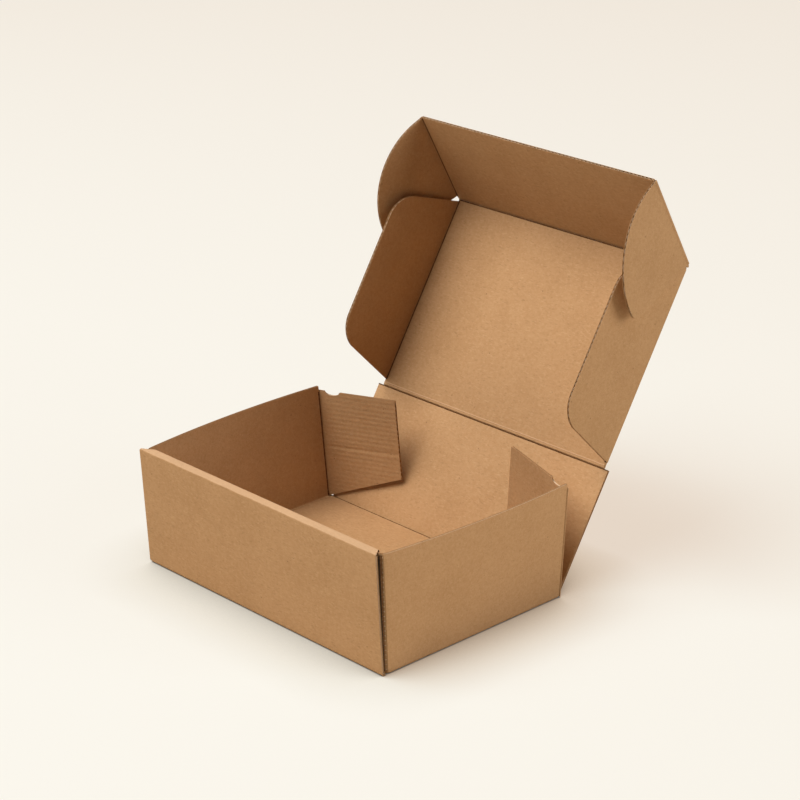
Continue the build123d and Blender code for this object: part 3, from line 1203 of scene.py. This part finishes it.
def floor_material(colours):
    """Pale floor: the camera sees it paler than its light makes it, with the shadow kept."""
    nodes, links, shader = new_material("table", 0.9, 0.1)
    seen = nodes.new("ShaderNodeLightPath").outputs["Is Camera Ray"]
    surface = mix(nodes, links, seen, colours.bounce, colours.table)
    links.new(surface, shader.inputs["Base Color"])
    nearby = nodes.new("ShaderNodeAmbientOcclusion")
    nearby.samples = 16
    nearby.inputs["Distance"].default_value = CONTACT_REACH
    stops = CONTACT_SHADE + ((1.0, colours.backdrop),)
    glow = nodes.new("ShaderNodeEmission")
    links.new(ramp(nodes, links, nearby.outputs["AO"], stops), glow.inputs["Color"])
    glow.inputs["Strength"].default_value = BACKDROP_STRENGTH
    share = nodes.new("ShaderNodeMath")
    share.operation = "MULTIPLY"
    share.inputs[1].default_value = BACKDROP_SHARE
    links.new(seen, share.inputs[0])
    blend = nodes.new("ShaderNodeMixShader")
    links.new(share.outputs["Value"], blend.inputs["Fac"])
    links.new(shader.outputs["BSDF"], blend.inputs[1])
    links.new(glow.outputs["Emission"], blend.inputs[2])
    links.new(blend.outputs["Shader"], nodes["Material Output"].inputs["Surface"])


class MAILER_OT_stage(bpy.types.Operator):
    """Stage: pale floor, soft light and the camera"""
    bl_idname = "mailer.stage"
    bl_label = "Stage"

    def execute(self, context):
        scene = context.scene
        deselect()
        bpy.ops.mesh.primitive_plane_add(size=TABLE_SIZE)
        table = bpy.context.object
        table.name = "table"
        floor_material(settings().colours)
        table.data.materials.append(bpy.data.materials["table"])
        world = bpy.data.worlds.new("studio")
        scene.world = world
        world.use_nodes = True
        inputs = world.node_tree.nodes["Background"].inputs
        inputs["Color"].default_value = WORLD_TONE
        inputs["Strength"].default_value = WORLD_STRENGTH
        for lamp in LAMPS:
            self.lamp(*lamp)
        self.camera(scene)
        scene.view_settings.view_transform = "Standard"
        return {"FINISHED"}

    def lamp(self, name, where, size, power, colour):
        light = bpy.data.lights.new(name, "AREA")
        light.size = size
        light.energy = power
        light.color = colour
        lamp = bpy.data.objects.new(name, light)
        bpy.context.scene.collection.objects.link(lamp)
        lamp.location = where
        lamp.rotation_euler = (LAMP_AIM - Vector(where)).to_track_quat("-Z", "Y").to_euler()

    def camera(self, scene):
        data = bpy.data.cameras.new("camera")
        data.lens = CAMERA_LENS
        data.sensor_width = 36.0
        data.clip_end = 50.0
        camera = bpy.data.objects.new("camera", data)
        scene.collection.objects.link(camera)
        level = Vector((-math.sin(CAMERA_YAW), math.cos(CAMERA_YAW), 0))
        forward = level * math.cos(CAMERA_PITCH) - ALONG_Z * math.sin(CAMERA_PITCH)
        right = Vector((math.cos(CAMERA_YAW), math.sin(CAMERA_YAW), 0))
        above = right.cross(forward)
        across = right * math.cos(CAMERA_ROLL) + above * math.sin(CAMERA_ROLL)
        upward = above * math.cos(CAMERA_ROLL) - right * math.sin(CAMERA_ROLL)
        camera.matrix_world = placing(Vector(CAMERA_PLACE), across, upward)
        scene.camera = camera


class MailerBox(bpy.types.PropertyGroup):
    sizes: PointerProperty(type=BoardSizes)
    flaps: PointerProperty(type=FlapShapes)
    tray: PointerProperty(type=TrayShapes)
    colours: PointerProperty(type=PaperColours)


class MAILER_PT_panel(bpy.types.Panel):
    """Buttons for every piece of the box"""
    bl_label = "Mailer box"
    bl_idname = "MAILER_PT_panel"
    bl_space_type = "VIEW_3D"
    bl_region_type = "UI"
    bl_category = "Mailer box"

    def draw(self, context):
        layout = self.layout
        for group in (settings().sizes, settings().flaps, settings().tray, settings().colours):
            box = layout.box()
            for key in group.__annotations__:
                box.prop(group, key)
        for operator in OPERATORS:
            layout.operator(operator.bl_idname)


OPERATORS = (
    MAILER_OT_stage,
    MAILER_OT_tray,
    MAILER_OT_back_wall,
    MAILER_OT_lid,
    MAILER_OT_tuck_flap,
    MAILER_OT_ears,
    MAILER_OT_rear_flaps,
)
CLASSES = (BoardSizes, FlapShapes, TrayShapes, PaperColours, MailerBox, MAILER_PT_panel) + OPERATORS


def register():
    for cls in CLASSES:
        bpy.utils.register_class(cls)
    bpy.types.Scene.mailer_box = PointerProperty(type=MailerBox)


def unregister():
    del bpy.types.Scene.mailer_box
    for cls in reversed(CLASSES):
        bpy.utils.unregister_class(cls)


def main():
    register()
    all_papers()
    bpy.ops.mailer.stage()
    bpy.ops.mailer.tray()
    bpy.ops.mailer.back_wall()
    bpy.ops.mailer.lid()
    bpy.ops.mailer.tuck_flap()
    bpy.ops.mailer.ears()
    bpy.ops.mailer.rear_flaps()


if __name__ == "__main__":
    main()
